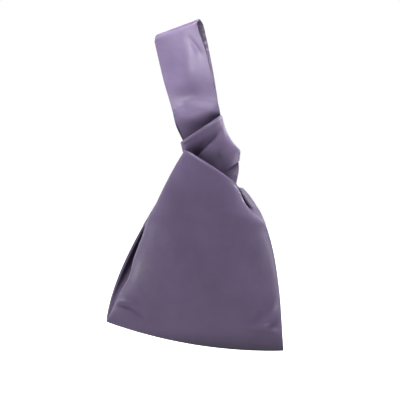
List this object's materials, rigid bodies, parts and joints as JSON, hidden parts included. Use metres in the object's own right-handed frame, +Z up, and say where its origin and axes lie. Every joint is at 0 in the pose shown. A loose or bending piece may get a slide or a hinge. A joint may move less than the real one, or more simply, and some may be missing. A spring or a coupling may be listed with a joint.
{
  "type": "japanese knot bag",
  "caption": "Soft leather wrist bag: a slouchy pouch with folded sides, closed by its long handle loop passing through a short loop that forms the knot.",
  "frame": {"origin": "inside of the top of the handle loop, where a hook or a wrist carries the bag", "axes": "+Z up as the bag hangs, +X to the viewer's right, -Y out of the front panel"},
  "size_m": [0.2212, 0.0652, 0.4141],
  "materials": {
    "leather": "soft satin nappa",
    "lining": "matt woven"
  },
  "bodies": {
    "handle": {"handle_outer": "leather", "handle_lining": "lining"},
    "bag": {"outer_front_panel": "leather", "outer_back_panel": "leather", "left_gusset": "leather", "right_gusset": "leather", "front_lining": "lining", "back_lining": "lining", "neck_front_strap": "leather", "neck_back_strap": "leather", "short_strap_front_leg": "leather", "short_strap_back_leg": "leather"},
    "knot": {"knot_band_outer": "leather", "knot_band_lining": "lining"}
  },
  "joints": [
    {"name": "handle_fold", "type": "hinge", "parent": "handle", "child": "bag", "pos_m": [0.00248, -0.016, -0.10878], "axis": [0.9745, 0, 0.2244], "range_deg": [-90, 90]},
    {"name": "knot_slide", "type": "slide", "parent": "bag", "child": "knot", "axis": [-0.2244, 0, 0.9745], "range_m": [0, 0.008]}
  ]
}
